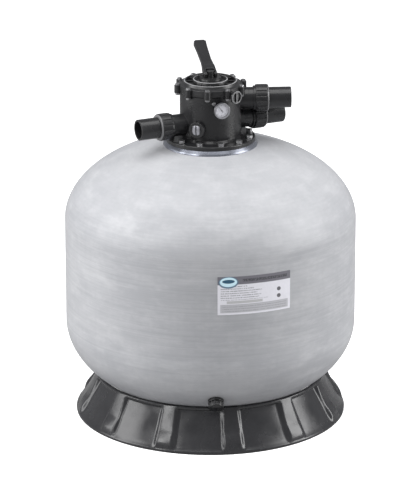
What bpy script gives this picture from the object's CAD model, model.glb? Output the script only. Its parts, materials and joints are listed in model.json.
"""Looks of the sand filter tank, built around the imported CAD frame.

Units are metres. +Z is up and -Y is the front.
"""

import json
import math

import bmesh
import bpy
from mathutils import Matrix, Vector


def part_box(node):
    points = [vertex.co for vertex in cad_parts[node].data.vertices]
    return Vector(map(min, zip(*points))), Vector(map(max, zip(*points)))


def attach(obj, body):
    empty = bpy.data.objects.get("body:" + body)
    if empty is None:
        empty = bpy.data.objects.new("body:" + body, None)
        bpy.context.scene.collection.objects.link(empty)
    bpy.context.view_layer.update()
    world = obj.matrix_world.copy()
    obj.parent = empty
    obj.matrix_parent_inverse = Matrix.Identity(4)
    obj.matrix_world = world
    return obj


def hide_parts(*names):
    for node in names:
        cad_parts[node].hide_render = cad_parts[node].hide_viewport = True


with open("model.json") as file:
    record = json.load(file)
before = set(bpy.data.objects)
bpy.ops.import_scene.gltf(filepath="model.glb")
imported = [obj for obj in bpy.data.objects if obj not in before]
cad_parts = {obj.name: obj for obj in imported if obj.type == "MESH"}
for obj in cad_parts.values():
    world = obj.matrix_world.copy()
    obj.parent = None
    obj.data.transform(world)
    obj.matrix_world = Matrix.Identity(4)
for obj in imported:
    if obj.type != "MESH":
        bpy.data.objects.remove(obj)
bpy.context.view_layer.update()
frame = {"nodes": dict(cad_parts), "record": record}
nodes = frame["nodes"]

TAU = 2 * math.pi

# Headings of the valve's fittings, in degrees about +Z from +X.
PORT_HEADINGS = {"pump": 4, "return": 25, "waste": 205}
PLUG_HEADING = -49
SIGHT_HEADING = -113.5
NUT_RIM = (0.1352, 0.1368)  # from where to where a union nut's outer end turns bright
PLUG_RIM = (0.0948, 0.0956)
DIAL_TURN = 17  # how far the gauge faces to the side of the front


# ---------------------------------------------------------------- camera, lights and stage

PITCH = math.radians(18.75)  # how far the camera looks down
DISTANCE = 8.381
AIM = Vector((0, 0, 0.4013))
LIT_POINT = (0, 0, 0.42)


def make_camera():
    """A long lens in front of the tank, a little above it."""
    data = bpy.data.cameras.new("camera")
    data.lens = 250
    data.sensor_width = 36
    data.shift_x = -0.0038
    camera = bpy.data.objects.new("camera", data)
    camera.location = AIM + DISTANCE * Vector((0, -math.cos(PITCH), math.sin(PITCH)))
    camera.rotation_euler = (math.pi / 2 - PITCH, 0, 0)
    bpy.context.scene.collection.objects.link(camera)
    bpy.context.scene.camera = camera


def area_light(name, place, size, watts):
    """A softbox turned to the middle of the tank; the camera doesn't see it."""
    data = bpy.data.lights.new(name, "AREA")
    data.shape = "RECTANGLE"
    data.size, data.size_y = size
    data.energy = watts
    lamp = bpy.data.objects.new(name, data)
    lamp.location = place
    lamp.visible_camera = False
    lamp.rotation_euler = (Vector(LIT_POINT) - Vector(place)).to_track_quat("-Z", "Y").to_euler()
    bpy.context.scene.collection.objects.link(lamp)


def make_lights():
    """Softboxes at the sides and overhead, a strip at the left and a dim-lighting white surround."""
    area_light("left_softbox", (-2.95, -0.4, 1.5), (1.5, 2.6), 66)
    area_light("right_softbox", (2.9, -0.4, 1.4), (1.4, 2.6), 80)
    area_light("left_strip", (-1.85, -2.05, 1.9), (0.55, 2.2), 36)
    area_light("top_softbox", (0.0, -0.3, 3.2), (3.0, 2.2), 58)
    world = bpy.data.worlds.new("studio")
    world.use_nodes = True
    tree = world.node_tree
    back = tree.nodes["Background"]
    back.inputs["Color"].default_value = (0.96, 0.97, 1.0, 1)
    back.inputs["Strength"].default_value = 0.32
    shown = tree.nodes.new("ShaderNodeBackground")
    shown.inputs["Strength"].default_value = 1.0
    shown.inputs["Color"].default_value = (1, 1, 1, 1)
    choose = tree.nodes.new("ShaderNodeMixShader")
    tree.links.new(tree.nodes.new("ShaderNodeLightPath").outputs["Is Camera Ray"], choose.inputs[0])
    tree.links.new(back.outputs[0], choose.inputs[1])
    tree.links.new(shown.outputs[0], choose.inputs[2])
    tree.links.new(choose.outputs[0], tree.nodes["World Output"].inputs[0])
    bpy.context.scene.world = world
    bpy.context.scene.view_settings.view_transform = "Standard"


def make_stage():
    """A wide pale floor that runs out into the white surround and throws back less light than it shows."""
    mesh = bmesh.new()
    bmesh.ops.create_circle(mesh, cap_ends=True, segments=128, radius=9)
    floor = finish_mesh(mesh, "studio_floor", smooth=False)
    look = Look("studio_floor", roughness=0.9)
    look.shade("Base Color", look.mix(look.noise(3, 2), (0.88, 0.88, 0.88), (0.92, 0.92, 0.92)))
    look.shader.inputs["Emission Color"].default_value = (1, 1, 1, 1)
    look.shader.inputs["Emission Strength"].default_value = 0.72
    dim = look.node("ShaderNodeBsdfDiffuse")
    dim.inputs["Color"].default_value = (0.42, 0.42, 0.42, 1)
    choose = look.node("ShaderNodeMixShader")
    look.feed(choose.inputs[0], look.node("ShaderNodeLightPath").outputs["Is Camera Ray"])
    look.tree.links.new(dim.outputs[0], choose.inputs[1])
    look.tree.links.new(look.shader.outputs[0], choose.inputs[2])
    look.tree.links.new(choose.outputs[0], look.tree.nodes["Material Output"].inputs[0])
    look.put_on(floor)


# ---------------------------------------------------------------- materials

SOCKETS = {
    "metallic": "Metallic",
    "roughness": "Roughness",
    "ior": "IOR",
    "alpha": "Alpha",
    "coat": "Coat Weight",
    "coat_roughness": "Coat Roughness",
    "specular": "Specular IOR Level",
}


class Look:
    """A material's node tree, with short ways to add its nodes."""

    def __init__(self, name, **values):
        self.material = bpy.data.materials.new(name)
        self.material.use_nodes = True
        self.tree = self.material.node_tree
        self.shader = self.tree.nodes["Principled BSDF"]
        self._place = None
        self._axes = None
        for key, value in values.items():
            self.feed(self.shader.inputs[SOCKETS[key]], value)

    def node(self, kind, **settings):
        made = self.tree.nodes.new(kind)
        for key, value in settings.items():
            setattr(made, key, value)
        return made

    def feed(self, socket, value):
        if isinstance(value, bpy.types.NodeSocket):
            self.tree.links.new(value, socket)
        elif isinstance(value, tuple) and len(value) == 3 and socket.type == "RGBA":
            socket.default_value = (*value, 1)
        else:
            socket.default_value = value

    def shade(self, socket, value):
        self.feed(self.shader.inputs[socket], value)

    def math(self, operation, *values):
        made = self.node("ShaderNodeMath", operation=operation)
        for socket, value in zip(made.inputs, values):
            self.feed(socket, value)
        return made.outputs[0]

    def mix(self, factor, a, b):
        made = self.node("ShaderNodeMix", data_type="RGBA")
        self.feed(made.inputs["Factor"], factor)
        self.feed(made.inputs[6], a)
        self.feed(made.inputs[7], b)
        return made.outputs[2]

    def spread(self, value, low, high, to_low, to_high):
        made = self.node("ShaderNodeMapRange", interpolation_type="SMOOTHSTEP")
        for socket, given in zip(made.inputs, (value, low, high, to_low, to_high)):
            self.feed(socket, given)
        return made.outputs[0]

    def product(self, first, *others):
        for other in others:
            first = self.math("MULTIPLY", first, other)
        return first

    def square_sum(self, a, b):
        return self.math("ADD", self.product(a, a), self.product(b, b))

    def length(self, a, b):
        return self.math("SQRT", self.square_sum(a, b))

    def inside(self, value, low, high, soft):
        """One where the value is between two limits, falling to zero over a soft margin at each."""
        rise = self.spread(value, low - soft, low + soft, 0.0, 1.0)
        return self.product(rise, self.spread(value, high - soft, high + soft, 1.0, 0.0))

    def place(self):
        if self._place is None:
            self._place = self.node("ShaderNodeTexCoord").outputs["Object"]
        return self._place

    def axes(self):
        if self._axes is None:
            split = self.node("ShaderNodeSeparateXYZ")
            self.feed(split.inputs[0], self.place())
            self._axes = split.outputs[:]
        return self._axes

    def toward(self, heading):
        """How far a point lies from the object's Z axis, along a heading in degrees."""
        x, y, _ = self.axes()
        turn = math.radians(heading)
        return self.math("MULTIPLY_ADD", x, math.cos(turn), self.math("MULTIPLY", y, math.sin(turn)))

    def base_color(self):
        return self.shader.inputs["Base Color"].links[0].from_socket

    def noise(self, scale, detail=2, roughness=0.5, at=None):
        made = self.node("ShaderNodeTexNoise")
        self.feed(made.inputs["Vector"], at or self.place())
        self.feed(made.inputs["Scale"], scale)
        self.feed(made.inputs["Detail"], detail)
        self.feed(made.inputs["Roughness"], roughness)
        return made.outputs["Fac"]

    def stretched(self, x, y, z):
        made = self.node("ShaderNodeMapping")
        self.feed(made.inputs["Vector"], self.place())
        made.inputs["Scale"].default_value = (x, y, z)
        return made.outputs[0]

    def bump(self, height, distance, strength=1.0, soften=0):
        made = self.node("ShaderNodeBump")
        made.inputs["Strength"].default_value = strength
        made.inputs["Distance"].default_value = distance
        self.feed(made.inputs["Height"], height)
        if soften:
            edge = self.node("ShaderNodeBevel", samples=6)
            edge.inputs["Radius"].default_value = soften
            self.tree.links.new(edge.outputs[0], made.inputs["Normal"])
        self.tree.links.new(made.outputs[0], self.shader.inputs["Normal"])

    def put_on(self, *objects):
        for item in objects:
            item.data.materials.clear()
            item.data.materials.append(self.material)


def fibreglass():
    """Filament-wound glass in clear resin: crossed helical bands, hoop windings and a glossy gelcoat."""
    look = Look("wound_fibreglass", roughness=0.42, coat=0.2, coat_roughness=0.24, ior=1.45, specular=0.35)
    x, y, z = look.axes()
    angle = look.math("ARCTAN2", y, x)
    along = look.math("SUBTRACT", z, look.math("MULTIPLY", look.length(x, y), 0.9))
    wobble = look.math("MULTIPLY", look.noise(5, 3), 5.0)
    around = look.math("MULTIPLY", angle, 56)
    bands = []
    for lean in (1, -1):
        phase = look.math("ADD", around, look.math("MULTIPLY", along, lean * 225.0))
        bands.append(look.math("SINE", look.math("ADD", phase, wobble)))
    diamonds = look.product(*bands)
    hoops = look.noise(1, 4, 0.65, at=look.stretched(2.2, 2.2, 260))
    milky = look.spread(look.noise(1, 5, 0.6, at=look.stretched(5, 5, 9)), 0.3, 0.7, 0.0, 1.0)
    wisps = look.spread(look.noise(1, 6, 0.7, at=look.stretched(14, 14, 40)), 0.42, 0.72, 0.0, 1.0)
    on_side = look.product(look.spread(z, 0.14, 0.26, 0.0, 1.0), look.spread(z, 0.48, 0.58, 1.0, 0.0))
    hoop_share = look.math("MULTIPLY", look.math("SUBTRACT", hoops, 0.5), look.math("ADD", on_side, 0.3))
    tone = look.math("MULTIPLY_ADD", diamonds, 0.03, look.math("MULTIPLY", hoop_share, 0.7))
    tone = look.math("ADD", tone, look.math("MULTIPLY_ADD", milky, 0.5, look.math("MULTIPLY", wisps, 0.35)))
    look.shade("Base Color", look.mix(tone, (0.375, 0.38, 0.40), (0.53, 0.535, 0.55)))
    look.shade("Roughness", look.spread(tone, 0.2, 0.9, 0.52, 0.40))
    relief = look.math("MULTIPLY_ADD", hoop_share, 0.8, look.math("MULTIPLY", diamonds, 0.1))
    look.bump(look.math("MULTIPLY_ADD", wisps, 0.5, relief), 0.0006, 0.45)
    return look


VALVE_TONE = 0.014  # how light the valve's black plastic is
BASE_TONE = 0.03


def black_plastic(name, roughness, tone, soften=0.0009):
    """Injection-moulded black plastic: fine orange peel, faint dust and softened edges."""
    look = Look(name, roughness=roughness, ior=1.5)
    cloud = look.noise(40, 5, 0.65)
    light, dark = tone * 1.35, tone * 0.75
    look.shade("Base Color", look.mix(cloud, (dark, dark, dark * 1.08), (light, light, light * 1.08)))
    look.shade("Roughness", look.spread(look.noise(22, 4), 0.3, 0.7, roughness - 0.06, roughness + 0.08))
    look.bump(look.noise(900, 2), 0.00006, 0.2, soften)
    return look


def rimmed_plastic(name, heading, rim, shine):
    """Black plastic whose outer end, along a heading, has a polished rim."""
    look = black_plastic(name, 0.28, VALVE_TONE)
    bright = look.product(look.spread(look.toward(heading), *rim, 0.0, 1.0), shine)
    look.shade("Base Color", look.mix(bright, look.base_color(), (0.40, 0.40, 0.41)))
    return look


def metal(name, color, roughness):
    """Brushed metal with slightly rounded edges."""
    look = Look(name, metallic=1.0, roughness=roughness)
    grain = look.noise(1, 3, 0.6, at=look.stretched(900, 900, 120))
    deep = tuple(c * 0.82 for c in color)
    look.shade("Base Color", look.mix(grain, deep, color))
    look.shade("Roughness", look.spread(grain, 0.3, 0.7, roughness * 0.8, roughness * 1.3))
    look.bump(grain, 0.00004, 0.4, 0.0004)
    return look


def plain_plastic(name, color, roughness=0.45):
    """Matt moulded plastic or paint."""
    look = Look(name, roughness=roughness, ior=1.48)
    cloud = look.noise(60, 4)
    look.shade("Base Color", look.mix(cloud, tuple(c * 0.93 for c in color), color))
    look.shade("Roughness", look.spread(look.noise(30, 3), 0.3, 0.7, roughness - 0.05, roughness + 0.07))
    look.bump(look.noise(700, 2), 0.00006, 0.3)
    return look


def rubber():
    """Black seal rubber, finely pitted."""
    look = Look("seal_rubber", roughness=0.7, ior=1.5)
    cloud = look.noise(150, 4)
    look.shade("Base Color", look.mix(cloud, (0.012, 0.012, 0.012), (0.025, 0.025, 0.026)))
    look.bump(look.noise(1200, 2), 0.0001, 0.4)
    return look


def collar_look():
    """The tank collar: grey-blue metallic paint."""
    look = Look("collar_paint", metallic=0.75, roughness=0.3, coat=0.3, coat_roughness=0.1)
    flakes = look.noise(600, 3, 0.7)
    look.shade("Base Color", look.mix(flakes, (0.20, 0.21, 0.25), (0.25, 0.265, 0.305)))
    look.shade("Roughness", look.spread(look.noise(25, 3), 0.3, 0.7, 0.24, 0.36))
    look.bump(look.noise(300, 3), 0.0001, 0.25, 0.0012)
    return look


def lens_look():
    """The gauge's window: a thin clear film with a faint haze."""
    look = Look("clear_lens", ior=1.4, alpha=0.16)
    haze = look.noise(90, 3)
    look.shade("Base Color", look.mix(haze, (0.80, 0.80, 0.86), (0.88, 0.88, 0.93)))
    look.shade("Roughness", look.spread(haze, 0.3, 0.7, 0.08, 0.14))
    return look


def bull_eye_look():
    """The sight glass: silvery lobes at its sides and a dark slot down its middle."""
    look = Look("bull_eye_glass", metallic=0.55, coat=1.0, coat_roughness=0.04)
    off = look.math("ABSOLUTE", look.toward(SIGHT_HEADING + 90))
    past_slot = look.spread(off, 0.0008, 0.0026, 0.0, 1.0)
    short_of_rim = look.spread(off, 0.0070, 0.0105, 1.0, 0.0)
    lobes = look.product(past_slot, short_of_rim, look.math("MULTIPLY_ADD", look.noise(160, 2), 0.5, 0.7))
    look.shade("Base Color", look.mix(lobes, (0.03, 0.03, 0.035), (0.34, 0.34, 0.37)))
    look.shade("Roughness", look.spread(lobes, 0.0, 1.0, 0.12, 0.3))
    return look


LID_RINGS = ((0.0622, 0.8285), (0.0402, 0.8315))  # each moulded ring's middle radius and top


def lid_look():
    """The lid's plastic, with its two moulded rings polished bright along their edges."""
    look = black_plastic("lid_plastic", 0.34, VALVE_TONE, 0.0007)
    x, y, z = look.axes()
    radius = look.length(x, y)
    lines = []
    for ring, top in LID_RINGS:
        off = look.math("ABSOLUTE", look.math("SUBTRACT", radius, ring))
        near_top = look.spread(z, top - 0.0016, top - 0.0006, 0.0, 1.0)
        lines.append(look.product(look.spread(off, 0.0006, 0.0013, 1.0, 0.0), near_top))
    shine = look.product(look.math("ADD", *lines), 0.8)
    look.shade("Base Color", look.mix(shine, look.base_color(), (0.42, 0.42, 0.43)))
    return look


LABEL_START = math.radians(-87.3)
LABEL_SWEEP = math.radians(29.3)
TEXT_ROWS = 17.0


def label_look():
    """A printed film label: dark heading with a blue badge, bars for text, two icons and a tinted table."""
    look = Look("printed_label", roughness=0.32, coat=0.4, coat_roughness=0.12)
    low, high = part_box("rating_label")
    x, y, z = look.axes()
    angle = look.math("ARCTAN2", y, x)
    across = look.math("DIVIDE", look.math("SUBTRACT", angle, LABEL_START), LABEL_SWEEP)
    up = look.math("DIVIDE", look.math("SUBTRACT", z, low.z), high.z - low.z)

    def patch(left, right, bottom, top):
        return look.product(look.inside(across, left, right, 0.006), look.inside(up, bottom, top, 0.006))

    def spot(cx, cy, rx, ry):
        dx = look.math("DIVIDE", look.math("SUBTRACT", across, cx), rx)
        dy = look.math("DIVIDE", look.math("SUBTRACT", up, cy), ry)
        return look.spread(look.square_sum(dx, dy), 0.85, 1.15, 1.0, 0.0)

    paper = look.mix(look.noise(120, 3), (0.74, 0.735, 0.79), (0.82, 0.815, 0.87))
    heading = patch(-0.1, 1.1, 0.79, 1.1)
    table = patch(0.035, 0.965, 0.05, 0.27)
    color = look.mix(table, paper, (0.50, 0.50, 0.53))
    color = look.mix(patch(0.12, 0.6, 0.29, 0.36), color, (0.50, 0.50, 0.51))
    row = look.math("MULTIPLY", up, TEXT_ROWS)
    ragged = look.node("ShaderNodeTexWhiteNoise", noise_dimensions="1D")
    look.feed(ragged.inputs["W"], look.math("FLOOR", row))
    reach = look.math("MULTIPLY_ADD", ragged.outputs[0], 0.35, 0.35)
    words = look.spread(look.noise(1, 2, 0.8, at=look.stretched(700, 700, 200)), 0.40, 0.5, 0.0, 1.0)
    print_lines = look.product(look.inside(look.math("FRACT", row), 0.3, 0.72, 0.08), words)
    text = look.product(print_lines, look.math("LESS_THAN", across, reach), patch(0.04, 0.8, 0.38, 0.76))
    color = look.mix(look.product(text, 0.75), color, (0.2, 0.2, 0.22))
    table_text = look.product(print_lines, patch(0.06, 0.94, 0.07, 0.26))
    color = look.mix(look.product(table_text, 0.5), color, (0.22, 0.22, 0.24))
    for height in (0.57, 0.39):
        color = look.mix(spot(0.83, height, 0.028, 0.052), color, (0.13, 0.13, 0.14))
    color = look.mix(heading, color, (0.165, 0.16, 0.185))
    title = look.product(patch(0.33, 0.95, 0.855, 0.93), words, 0.8)
    color = look.mix(title, color, (0.03, 0.03, 0.035))
    color = look.mix(spot(0.142, 0.85, 0.13, 0.155), color, (0.10, 0.17, 0.25))
    color = look.mix(spot(0.142, 0.86, 0.113, 0.125), color, (0.66, 0.90, 1.0))
    color = look.mix(spot(0.142, 0.875, 0.082, 0.05), color, (0.02, 0.09, 0.16))
    look.shade("Base Color", color)
    look.bump(look.noise(60, 2), 0.0002, 0.15)
    return look


DIAL_EDGE = 0.01445


def dial_look():
    """The gauge's printed face: a ring of fine ticks and a ring of bold ones round its centre."""
    look = Look("gauge_dial", roughness=0.35, coat=0.3)
    low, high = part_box("gauge_dial")
    centre = (low + high) / 2
    offset = look.node("ShaderNodeVectorMath", operation="SUBTRACT")
    look.feed(offset.inputs[0], look.place())
    offset.inputs[1].default_value = centre
    split = look.node("ShaderNodeSeparateXYZ")
    look.feed(split.inputs[0], offset.outputs[0])
    up = split.outputs[2]
    across = look.math("DIVIDE", split.outputs[0], math.cos(math.radians(DIAL_TURN)))
    angle = look.math("ARCTAN2", across, up)
    reach = look.length(across, up)
    color = look.mix(look.noise(200, 3), (0.90, 0.90, 0.95), (0.96, 0.96, 1.0))
    fine = (40.0, (0.75, 0.90), 0.01255, 0.7, (0.06, 0.06, 0.07))
    bold = (8.0, (0.90, 0.97), 0.01115, 0.8, (0.03, 0.03, 0.03))
    for count, crest, start, strength, ink in (fine, bold):
        wave = look.spread(look.math("COSINE", look.math("MULTIPLY", angle, count)), *crest, 0.0, 1.0)
        ring = look.inside(reach, start, DIAL_EDGE, 0.00015)
        color = look.mix(look.product(wave, ring, strength), color, ink)
    look.shade("Base Color", color)
    return look


# ---------------------------------------------------------------- pieces built here


def finish_mesh(mesh, name, smooth=True):
    """Turns a bmesh into an object with its faces pointing outward."""
    bmesh.ops.recalc_face_normals(mesh, faces=mesh.faces)
    data = bpy.data.meshes.new(name)
    mesh.to_mesh(data)
    mesh.free()
    if smooth:
        data.shade_smooth()
    made = bpy.data.objects.new(name, data)
    bpy.context.scene.collection.objects.link(made)
    return made


def ease(value):
    value = min(max(value, 0), 1)
    return value * value * (3 - 2 * value)


def along_profile(points, value):
    """Reads a radius off a smooth curve through (height, radius) points."""
    last = len(points) - 1
    i = next((k for k in range(last) if value <= points[k + 1][0]), last - 1)
    (low, a), (high, b) = points[i], points[i + 1]
    before, after = points[max(i - 1, 0)], points[min(i + 2, last)]
    span = high - low
    leave = span * (b - before[1]) / (high - before[0])
    arrive = span * (after[1] - a) / (after[0] - low)
    t = (value - low) / span
    bend = (leave + arrive - 2 * (b - a)) * t + 3 * (b - a) - 2 * leave - arrive
    return a + t * (leave + t * bend)


# Profiles of the skirt: (height, radius) points.
RIB_FACE = [
    (0.0, 0.327), (0.008, 0.3258), (0.018, 0.3235), (0.027, 0.320),
    (0.038, 0.3125), (0.050, 0.3030), (0.072, 0.2915), (0.101, 0.2785),
]
PANEL = [
    (0.0, 0.327), (0.006, 0.327), (0.0085, 0.3245), (0.014, 0.3195), (0.022, 0.3140), (0.034, 0.3065),
    (0.050, 0.2970), (0.072, 0.2840), (0.089, 0.2745), (0.0925, 0.2745), (0.0945, 0.2785), (0.101, 0.2790),
]
LIP = [(0.101, 0.2707), (0.094, 0.2647), (0.087, 0.2680), (0.048, 0.2895), (0.024, 0.3070), (0.0, 0.3150)]

BASE_TOP = PANEL[-1][0]
LEDGE = [0.0932, 0.0944, 0.0956, 0.098, 0.1002]  # heights of the mesh rings round the ledge
SIDE_RINGS = 57
RING_STEP = 0.0016
COLUMNS_PER_RIB = 56
RIB_COUNT = 12
RIB_HEADING = math.radians(-80.2)
RIB_HALF_WIDTH = 0.0150
RIB_SIDE = 0.0095
FOOT_SPREAD = 0.0035  # how much wider a rib's face and sides are at the foot
EDGE_ROUNDING = 0.0012


def skirt_radius(angle, z):
    """The skirt's outside: a recessed panel, or the nearest rib where that stands further out."""
    pitch = TAU / RIB_COUNT
    turn = (angle - RIB_HEADING + pitch / 2) % pitch - pitch / 2
    face = along_profile(RIB_FACE, z)
    wall = along_profile(PANEL, z)
    widening = FOOT_SPREAD * (1 - z / BASE_TOP)
    half = RIB_HALF_WIDTH + widening
    side = RIB_SIDE + widening
    share = ease((half + side - abs(turn) * face) / side)
    rounding = EDGE_ROUNDING if z in (0, BASE_TOP) else 0
    return wall + max(0, face - wall) * share - rounding


def make_base():
    """The blow-moulded skirt: twelve drafted ribs that blend into recessed panels and a flared foot."""
    heights = [0, 0.0008, *(0.002 + RING_STEP * i for i in range(SIDE_RINGS)), *LEDGE, BASE_TOP]
    count = RIB_COUNT * COLUMNS_PER_RIB
    mesh = bmesh.new()
    columns = []
    for i in range(count):
        angle = TAU * i / count
        ring = [(skirt_radius(angle, z), z) for z in heights] + [(r, z) for z, r in LIP]
        columns.append([mesh.verts.new((r * math.cos(angle), r * math.sin(angle), z)) for r, z in ring])
    for a, b in zip(columns, columns[1:] + columns[:1]):
        for i in range(len(a)):
            j = (i + 1) % len(a)
            mesh.faces.new((a[i], b[i], b[j], a[j]))
    skirt = finish_mesh(mesh, "skirt_base")
    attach(skirt, "root")
    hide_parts("support_base")
    return skirt


def softened(node, voxel, passes, body):
    """A copy of a CAD piece with its edges rounded, as a moulding's are."""
    made = bpy.data.objects.new(f"{node}_moulded", nodes[node].data.copy())
    bpy.context.scene.collection.objects.link(made)
    remesh = made.modifiers.new("remesh", "REMESH")
    remesh.mode = "VOXEL"
    remesh.voxel_size = voxel
    smooth = made.modifiers.new("smooth", "SMOOTH")
    smooth.factor = 0.5
    smooth.iterations = passes
    graph = bpy.context.evaluated_depsgraph_get()
    data = bpy.data.meshes.new_from_object(made.evaluated_get(graph))
    made.modifiers.clear()
    made.data = data
    data.shade_smooth()
    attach(made, body)
    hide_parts(node)
    return made


# ---------------------------------------------------------------- put together


def dress():
    """Gives every carried-over CAD piece its material, by the record's slots."""
    looks = {
        "fibreglass": fibreglass(),
        "collar": collar_look(),
        "black_plastic": black_plastic("valve_plastic", 0.28, VALVE_TONE),
        "base_plastic": black_plastic("base_plastic", 0.22, BASE_TONE, 0),
        "white_plastic": plain_plastic("white_plastic", (0.78, 0.78, 0.76)),
        "seal": rubber(),
        "steel": metal("stainless_steel", (0.40, 0.40, 0.41), 0.36),
        "brass": metal("brass", (0.75, 0.56, 0.24), 0.3),
        "chrome_trim": metal("bezel_steel", (0.55, 0.55, 0.58), 0.34),
        "label": label_look(),
        "dial": dial_look(),
        "needle": plain_plastic("needle_paint", (0.03, 0.03, 0.035), 0.5),
        "clear": lens_look(),
    }
    for row in frame["record"]["subparts"]:
        looks[row["material_slot"]].put_on(nodes[row["node"]])
    bull_eye_look().put_on(nodes["sight_glass"])
    lid_look().put_on(nodes["valve_lid"])
    for port, heading in PORT_HEADINGS.items():
        rimmed_plastic(f"{port}_nut_plastic", heading, NUT_RIM, 0.42).put_on(nodes[f"{port}_union_nut"])
    rimmed_plastic("plug_plastic", PLUG_HEADING, PLUG_RIM, 0.35).put_on(nodes["gauge_port_plug"])
    return looks


make_camera()
make_stage()
make_lights()
looks = dress()
looks["base_plastic"].put_on(make_base())
looks["black_plastic"].put_on(softened("handle", 0.0009, 6, "handle"))
